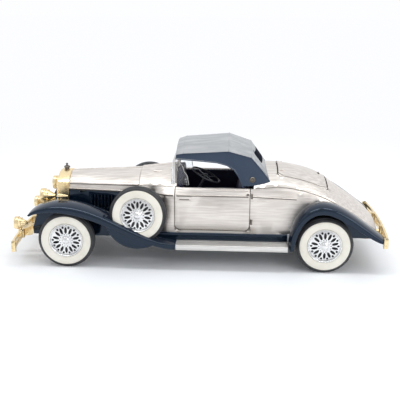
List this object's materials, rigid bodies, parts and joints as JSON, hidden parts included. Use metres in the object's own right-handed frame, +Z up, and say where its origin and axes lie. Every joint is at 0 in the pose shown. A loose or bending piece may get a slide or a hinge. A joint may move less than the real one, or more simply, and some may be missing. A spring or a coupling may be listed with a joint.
{
  "type": "diecast collector car",
  "caption": "1930s-style roadster display model with opening doors and boot lid, a raised soft top and wire wheels that roll.",
  "frame": {"origin": "on the ground under the middle of the car", "axes": "+X to the car's front, +Y to its left side, +Z up"},
  "size_m": [0.242, 0.0854, 0.0808],
  "materials": {
    "pewter": "antiqued, finely brushed along the car",
    "dark_enamel": "gloss",
    "bright_metal": "satin",
    "top_vinyl": "grained",
    "clear_plastic": "clear",
    "smoked_pane": "gloss",
    "dark_interior": "leather grain",
    "seat_trim": "leather grain",
    "black_plastic": "satin",
    "gold_plate": "polished",
    "red_lens": "gloss",
    "dark_metal": "darkened",
    "steel": "drawn",
    "wheel_chrome": "plated",
    "tyre_black": "matte",
    "cream_band": "satin"
  },
  "bodies": {
    "car": {"body_shell": "pewter", "bonnet": "pewter", "bonnet_sides": "dark_enamel", "front_fender_left": "dark_enamel", "front_fender_right": "dark_enamel", "rear_fender_left": "dark_enamel", "rear_fender_right": "dark_enamel", "sills": "dark_enamel", "running_boards": "bright_metal", "soft_top": "top_vinyl", "rear_window": "smoked_pane", "landau_buttons": "bright_metal", "windscreen_frame": "bright_metal", "windscreen_glass": "clear_plastic", "cabin_tub": "dark_interior", "seat": "seat_trim", "dashboard": "dark_interior", "steering_wheel": "black_plastic", "steering_column": "black_plastic", "radiator_shell": "gold_plate", "radiator_grille": "gold_plate", "radiator_cap": "gold_plate", "headlamp_left": "gold_plate", "headlamp_right": "gold_plate", "driving_lamps": "gold_plate", "lamp_lenses": "clear_plastic", "side_lamps": "gold_plate", "tail_lamps": "red_lens", "front_bumper": "gold_plate", "rear_bumper": "gold_plate", "front_bumper_irons": "gold_plate", "rear_bumper_irons": "gold_plate", "chassis_plate": "black_plastic", "chassis_screws": "steel", "spare_studs": "steel", "hinge_pins": "dark_metal"},
    "left_door": {"door_left": "pewter", "door_card_left": "dark_interior"},
    "right_door": {"door_right": "pewter", "door_card_right": "dark_interior"},
    "boot": {"boot_lid": "pewter", "boot_handle": "dark_metal"},
    "front_wheelset": {"front_axle": "steel", "wheel_front_left": "wheel_chrome", "wheel_front_right": "wheel_chrome", "tyre_front_left": "tyre_black", "tyre_front_right": "tyre_black", "whitewalls_front": "cream_band"},
    "rear_wheelset": {"rear_axle": "steel", "wheel_rear_left": "wheel_chrome", "wheel_rear_right": "wheel_chrome", "tyre_rear_left": "tyre_black", "tyre_rear_right": "tyre_black", "whitewalls_rear": "cream_band"},
    "left_spare": {"wheel_spare_left": "wheel_chrome", "tyre_spare_left": "tyre_black", "whitewall_spare_left": "cream_band"},
    "right_spare": {"wheel_spare_right": "wheel_chrome", "tyre_spare_right": "tyre_black", "whitewall_spare_right": "cream_band"}
  },
  "joints": [
    {"name": "front_axle_spin", "type": "hinge", "parent": "car", "child": "front_wheelset", "pos_m": [0.084, 0, 0.018], "axis": [0, 1, 0], "continuous": true},
    {"name": "rear_axle_spin", "type": "hinge", "parent": "car", "child": "rear_wheelset", "pos_m": [-0.08, 0, 0.018], "axis": [0, 1, 0], "continuous": true},
    {"name": "spare_left_spin", "type": "hinge", "parent": "car", "child": "left_spare", "pos_m": [0.0381, 0.0346, 0.0349], "axis": [0, 0.9962, 0.0872], "continuous": true},
    {"name": "spare_right_spin", "type": "hinge", "parent": "car", "child": "right_spare", "pos_m": [0.0381, -0.0346, 0.0349], "axis": [0, -0.9962, 0.0872], "continuous": true},
    {"name": "left_door_hinge", "type": "hinge", "parent": "car", "child": "left_door", "pos_m": [-0.0338, 0.0309, 0.036], "axis": [0, 0, 1], "range_deg": [0, 62]},
    {"name": "right_door_hinge", "type": "hinge", "parent": "car", "child": "right_door", "pos_m": [-0.0338, -0.0309, 0.036], "axis": [0, 0, -1], "range_deg": [0, 62]},
    {"name": "boot_hinge", "type": "hinge", "parent": "car", "child": "boot", "pos_m": [-0.05015, 0, 0.0622], "axis": [0, 1, 0], "range_deg": [0, 55]}
  ]
}
